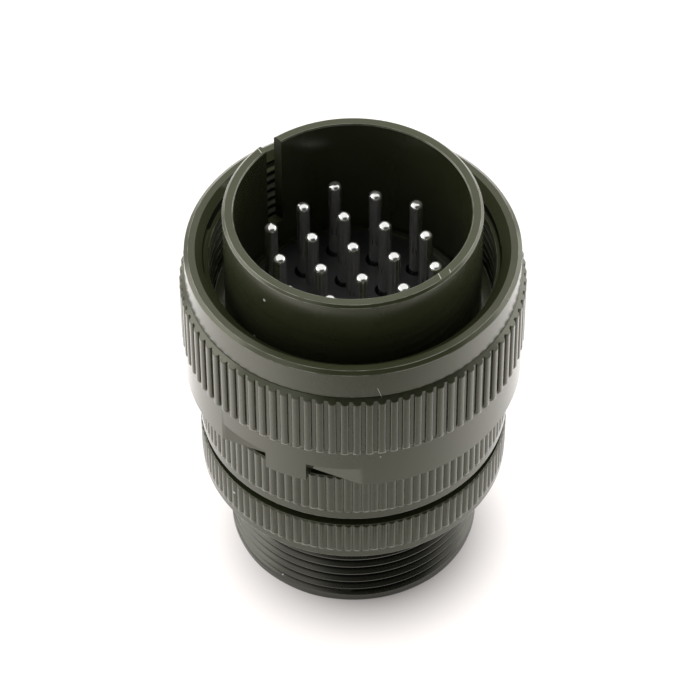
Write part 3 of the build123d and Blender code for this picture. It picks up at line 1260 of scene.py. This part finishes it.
@dataclass
class PlugShell:
    """Plug shell: barrel with its open keyway, flange, journal for the nut, lip and ring grooves."""

    node: str = "plug_shell"
    barrel_radius: float = 15.0
    barrel_bore_radius: float = 13.69
    barrel_length: float = 15.0
    rim_chamfer: float = 0.3
    rim_bore_chamfer: float = 0.12
    keyway_direction: float = math.pi / 2
    keyway_width: float = 2.3
    keyway_depth: float = 13.2
    keyway_margin: float = 0.4
    cut_face_reach: float = 0.05
    cut_face_slope: float = 0.7
    flange_radius: float = 16.3
    flange_thickness: float = 2.4
    journal_radius: float = 15.4
    rear_chamfer: float = 0.4
    nut_groove_radius: float = 14.7
    nut_groove_bottom: float = 31.0
    nut_groove_top: float = 31.83
    lip_radius: float = 13.05
    lip_bottom: float = 34.6
    lip_top: float = 35.7
    insert_bore_radius: float = 14.0
    insert_groove_radius: float = 14.6
    insert_groove_bottom: float = 21.37
    insert_groove_top: float = 22.4
    columns: int = 300

    def build(self, workshop: Workshop) -> None:
        """Builds the shell's skin as one closed outline with the keyway left open.

        Args:
            workshop: Takes the finished skin.
        """
        skin = Skin()
        bottom, rim = node_reach(self.node)
        flange_top = rim - self.barrel_length
        flange_bottom = flange_top - self.flange_thickness
        keyway_floor = rim - self.keyway_depth
        wall_top = keyway_floor - self.keyway_margin
        outline = softened(
            (self.barrel_radius, keyway_floor),
            (self.barrel_radius, rim - self.rim_chamfer, FINE),
            (self.barrel_radius - self.rim_chamfer, rim, KEEN),
            (self.barrel_bore_radius + self.rim_bore_chamfer, rim, CRISP),
            (self.barrel_bore_radius, rim - self.rim_bore_chamfer, CRISP),
            (self.barrel_bore_radius, keyway_floor),
        ) + softened(
            (self.barrel_bore_radius, wall_top),
            (self.barrel_bore_radius, self.lip_top),
            (self.lip_radius, self.lip_top, EASED),
            (self.lip_radius, self.lip_bottom, KEEN),
            (self.insert_bore_radius, self.lip_bottom),
            (self.insert_bore_radius, self.insert_groove_top),
            (self.insert_groove_radius, self.insert_groove_top),
            (self.insert_groove_radius, self.insert_groove_bottom),
            (self.insert_bore_radius, self.insert_groove_bottom),
            (self.insert_bore_radius, bottom, EASED),
            (self.journal_radius - self.rear_chamfer, bottom, KEEN),
            (self.journal_radius, bottom + self.rear_chamfer, KEEN),
            (self.journal_radius, self.nut_groove_bottom),
            (self.nut_groove_radius, self.nut_groove_bottom),
            (self.nut_groove_radius, self.nut_groove_top),
            (self.journal_radius, self.nut_groove_top),
            (self.journal_radius, flange_bottom),
            (self.flange_radius, flange_bottom, SOFT),
            (self.flange_radius, flange_top, SOFT),
            (self.barrel_radius, flange_top, FILLET),
            (self.barrel_radius, wall_top),
        )
        Opening(self.keyway_direction, self.keyway_width, keyway_floor, rim).turn(skin, outline, self.columns)
        piece = workshop.hand_over(skin, "shell_turned", self.node, OLIVE_PLATING, Body.PLUG)
        # The keyway's cut faces take the darker copy of the plating, a painted shade.
        workshop.redress(piece, SHADED_SLOT_PLATING, lambda centre, normal: (
            abs(abs(centre.x) - self.keyway_width / 2) < self.cut_face_reach
            and abs(normal.x) > self.cut_face_slope and centre.y > 0 and centre.z > keyway_floor
        ))


@dataclass
class PinContact:
    """Pin contact: domed pin, collar and a solder cup with its scooped mouth."""

    letter: str
    pin_radius: float = 0.794
    tip_height: float = 0.55
    tip_flat: float = 0.24
    shoulder_margin: float = 0.5
    collar_radius: float = 1.45
    collar_bottom: float = 25.9
    collar_top: float = 29.9
    cup_radius: float = 1.27
    cup_bore_radius: float = 0.9
    cup_bore_depth: float = 5.5
    scoop_length: float = 3.2
    scoop_margin: float = 0.3
    columns: int = 40
    dome_steps: int = 10

    def dome(self, shoulder: float) -> list[Stop]:
        """Circles of the domed tip, from its shoulder to the flat in its middle.

        Args:
            shoulder: Height of the dome's foot.

        Returns:
            The circles in order.
        """
        turns = [math.pi / 2 * step / self.dome_steps for step in range(self.dome_steps + 1)]
        reach = self.pin_radius - self.tip_flat
        return [
            Stop(self.tip_flat + reach * math.cos(turn), shoulder + self.tip_height * math.sin(turn))
            for turn in turns
        ]

    def build(self, workshop: Workshop) -> None:
        """Builds the contact's skin about its own axis and moves it to its place.

        Args:
            workshop: Takes the finished skin.
        """
        skin = Skin()
        node = f"contact_{self.letter}"
        low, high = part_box(node)
        cup_bottom, shoulder = low.z / MM, high.z / MM - self.tip_height
        around = even_angles(self.columns)
        outside = softened(
            (self.cup_radius, cup_bottom + self.scoop_length + self.scoop_margin),
            (self.cup_radius, self.collar_bottom),
            (self.collar_radius, self.collar_bottom, KEEN),
            (self.collar_radius, self.collar_top, KEEN),
            (self.pin_radius, self.collar_top),
            (self.pin_radius, shoulder - self.shoulder_margin),
        )
        _, crown = skin.turn(outside + self.dome(shoulder), around)
        skin.faces.append(crown)
        self.build_cup(skin, cup_bottom, around)
        centre = (low + high) / 2 / MM
        for point in skin.points:
            point.xy += centre.xy
        workshop.hand_over(skin, f"pin_{self.letter}", node, SILVER_PLATING, Body.PLUG)

    def build_cup(self, skin: Skin, bottom: float, around: Sequence[float]) -> None:
        """Adds the solder cup, whose mouth is cut away on one side.

        Args:
            skin: The surface to add to.
            bottom: Height of the cup's mouth.
            around: Angles of the full circles above the mouth.
        """
        scoop_top = bottom + self.scoop_length
        outer, outer_top, bore, bore_top = (skin.ring(stop, around) for stop in (
            Stop(self.cup_radius, scoop_top),
            Stop(self.cup_radius, scoop_top + self.scoop_margin),
            Stop(self.cup_bore_radius, scoop_top),
            Stop(self.cup_bore_radius, bottom + self.cup_bore_depth),
        ))
        skin.strip(outer, outer_top)
        skin.strip(bore, bore_top)
        skin.faces.append(bore_top)
        half = self.columns // 2
        skin.strip(outer[:half + 1], bore[:half + 1], closed=False)
        upper = [circle[half:] + circle[:1] for circle in (outer, bore)]
        angles = [*around[half:], around[0]]
        radii = (self.cup_radius, self.cup_bore_radius)
        lower = [skin.ring(Stop(radius, bottom), angles) for radius in radii]
        for low, high in (*zip(lower, upper), lower):
            skin.strip(low, high, closed=False)
        for end in (0, -1):
            skin.faces.append([lower[0][end], lower[1][end], upper[1][end], upper[0][end]])


@dataclass
class PlainPieces:
    """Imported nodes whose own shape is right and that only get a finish."""

    finishes: dict[str, Finish] = field(default_factory=lambda: {
        "front_insert": BLACK_INSULATOR,
        "rear_insert": BLACK_INSULATOR,
        "nut_thrust_washer": BLUED_STEEL,
        "nut_retaining_ring": BLUED_STEEL,
        "insert_retaining_ring": BLUED_STEEL,
    })

    def dress(self, workshop: Workshop) -> None:
        """Dresses every one of them."""
        for node, finish in self.finishes.items():
            workshop.dress_node(node, finish)


@dataclass(frozen=True)
class PhotoCamera:
    """Camera at the photograph's view, worked out for a picture of 700 by 700."""

    elevation: float = 0.812972643
    azimuth: float = math.radians(-42.1)
    distance: float = 447.58
    focus_height: float = 53.1
    focal_pixels: float = 3912.87
    picture_pixels: float = 700.0
    sensor_width: float = 36.0
    nearest: float = 0.01
    farthest: float = 20.0
    pan: float = 7.199e-4
    tilt: float = -3.5413e-2
    roll: float = -2.951e-3

    def build(self) -> None:
        """Makes the camera and puts it in charge."""
        lens = bpy.data.cameras.new("photo_camera")
        lens.sensor_width = self.sensor_width
        lens.lens = self.focal_pixels / self.picture_pixels * self.sensor_width
        lens.clip_start, lens.clip_end = self.nearest, self.farthest
        camera = linked("photo_camera", lens)
        back = Vector((
            math.sin(self.azimuth) * math.cos(self.elevation),
            -math.cos(self.azimuth) * math.cos(self.elevation),
            math.sin(self.elevation),
        ))
        camera.location = (Vector((0, 0, self.focus_height)) + back * self.distance) * MM
        turn = Euler((self.tilt, self.pan, self.roll), "XYZ").to_quaternion()
        camera.rotation_mode = "QUATERNION"
        camera.rotation_quaternion = (-back).to_track_quat("-Z", "Y") @ turn
        bpy.context.scene.camera = camera


@dataclass(frozen=True)
class SoftLamp:
    """One round soft lamp that points at the object, with its place and size in metres."""

    name: str
    place: Triple
    size: float
    watts: float
    mirrored: bool = True

    def hang(self) -> None:
        """Adds the lamp to the scene."""
        lamp = bpy.data.lights.new(self.name, "AREA")
        lamp.shape = "DISK"
        lamp.size = self.size
        lamp.energy = self.watts
        holder = linked(self.name, lamp)
        holder.location = self.place
        holder.visible_glossy = self.mirrored
        holder.rotation_mode = "QUATERNION"
        holder.rotation_quaternion = (-holder.location).to_track_quat("-Z", "Y")


@dataclass
class Studio:
    """White table, white surroundings, one large soft lamp overhead and weaker ones at the sides."""

    floor_size: float = 6.0
    floor_colour: Triple = (0.70, 0.685, 0.675)
    seen_share: float = 0.23
    mirrored_glow: float = 0.9
    glow_colour: Triple = (1.0, 0.955, 0.93)
    shadow_centre: Triple = (-1.367, -3.417, 0.0)
    shadow_inner: float = 11.09
    shadow_outer: float = 19.39
    shadow_depth: float = 0.781
    shadow_power: float = 1.349
    front: Triple = (-0.471, -0.882, 0.0)
    front_start: float = 16.0
    front_end: float = 60.0
    far_front_start: float = 50.0
    far_front_end: float = 64.0
    far_front_share: float = 0.6
    sky_strength: float = 0.55
    lamps: tuple[SoftLamp, ...] = (
        SoftLamp("top_lamp", (0.346, 0.383, 0.971), 0.9, 11.5, mirrored=False),
        SoftLamp("left_lamp", (-0.569, 0.768, 0.55), 1.0, 5.2),
        SoftLamp("right_lamp", (1.003, -0.252, 0.376), 0.9, 3.8),
    )
    dark_side: Triple = (-0.202, -0.657, 0.726)
    dark_reach: float = math.radians(46)
    dark_core: float = math.radians(30)
    dark_level: float = 0.05
    soft_dark_range: Pair = (0.1, 0.95)
    soft_dark_level: float = 0.5

    def build(self) -> None:
        """Builds the floor, the world and the lamps."""
        self.build_floor()
        self.build_world()
        for lamp in self.lamps:
            lamp.hang()
        bpy.context.scene.view_settings.view_transform = "Standard"

    def build_floor(self) -> None:
        """Makes the floor, white where no shadow falls; near the foot its glow dims in a painted shadow disc.
        """
        mesh = bpy.data.meshes.new("table_top")
        half = self.floor_size / 2
        corners = [(-half, -half, 0), (half, -half, 0), (half, half, 0), (-half, half, 0)]
        mesh.from_pydata(corners, [], [[0, 1, 2, 3]])
        paper = bpy.data.materials.new("white_paper")
        mesh.materials.append(paper)
        graph = Graph.emptied(paper)
        seen, mirrored = graph.rays()
        ahead = graph.combine("DOT_PRODUCT", graph.place, self.front, output="Value")
        far = graph.spread(ahead, self.far_front_start * MM, self.far_front_end * MM, 0.0, 1.0)
        plain, faded, shown = (
            opaque(self.floor_colour, share) for share in (1.0, self.far_front_share, self.seen_share)
        )
        met = graph.blend(graph.reckon("MULTIPLY", far, mirrored), plain, faded)
        matt = graph.add("BsdfDiffuse", Color=graph.blend(seen, met, shown))
        # Painted shadow: the glow dims in a disc round the foot, whatever the lamps do.
        offset = graph.combine("DISTANCE", graph.place, Vector(self.shadow_centre) * MM, output="Value")
        shadow = graph.spread(offset, self.shadow_inner * MM, self.shadow_outer * MM, 1.0, 0.0, "LINEAR")
        shade = graph.reckon("MULTIPLY", graph.reckon("POWER", shadow, self.shadow_power), self.shadow_depth)
        beside = graph.spread(ahead, self.front_start * MM, self.front_end * MM, 1.0, 0.0)
        gleam = graph.reckon("MULTIPLY", mirrored, graph.reckon("MULTIPLY", beside, self.mirrored_glow))
        strength = graph.reckon(
            "MULTIPLY", graph.reckon("SUBTRACT", 1.0, shade), graph.reckon("MAXIMUM", seen, gleam)
        )
        lift = graph.add("Emission", Color=opaque(self.glow_colour), Strength=strength)
        both = graph.add("AddShader", matt.outputs["BSDF"], lift.outputs["Emission"])
        graph.add("OutputMaterial", Surface=both.outputs["Shader"])
        floor = linked("table_top", mesh)

    def build_world(self) -> None:
        """Makes the surroundings: white where seen, white with a dark side where mirrored, soft elsewhere."""
        world = bpy.data.worlds.new("white_room")
        bpy.context.scene.world = world
        graph = Graph.emptied(world)
        seen, mirrored = graph.rays()
        way = graph.add("TexCoord").outputs["Generated"]
        towards = graph.combine("DOT_PRODUCT", way, self.dark_side, output="Value")
        narrow = graph.spread(
            towards, math.cos(self.dark_reach), math.cos(self.dark_core), 1.0, self.dark_level
        )
        wide = graph.spread(towards, *self.soft_dark_range, 1.0, self.soft_dark_level)
        soft, dark_sided, plain = (
            graph.add("Background", Color=WHITE, Strength=strength).outputs["Background"]
            for strength in (graph.reckon("MULTIPLY", wide, self.sky_strength), narrow, 1.0)
        )
        unseen = graph.add("MixShader", mirrored, soft, dark_sided).outputs["Shader"]
        mixed = graph.add("MixShader", seen, unseen, plain).outputs["Shader"]
        graph.add("OutputWorld", Surface=mixed)


def main() -> None:
    """Builds the camera, the studio and every piece in order."""
    logging.basicConfig(level=logging.INFO, format="%(name)s: %(message)s")
    PhotoCamera().build()
    Studio().build()
    workshop = Workshop()
    CouplingNut().build(workshop)
    EndBell().build(workshop)
    PlugShell().build(workshop)
    for node in sorted(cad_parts):
        if node.startswith("contact_"):
            PinContact(node.removeprefix("contact_")).build(workshop)
    PlainPieces().dress(workshop)


if __name__ == "__main__":
    main()
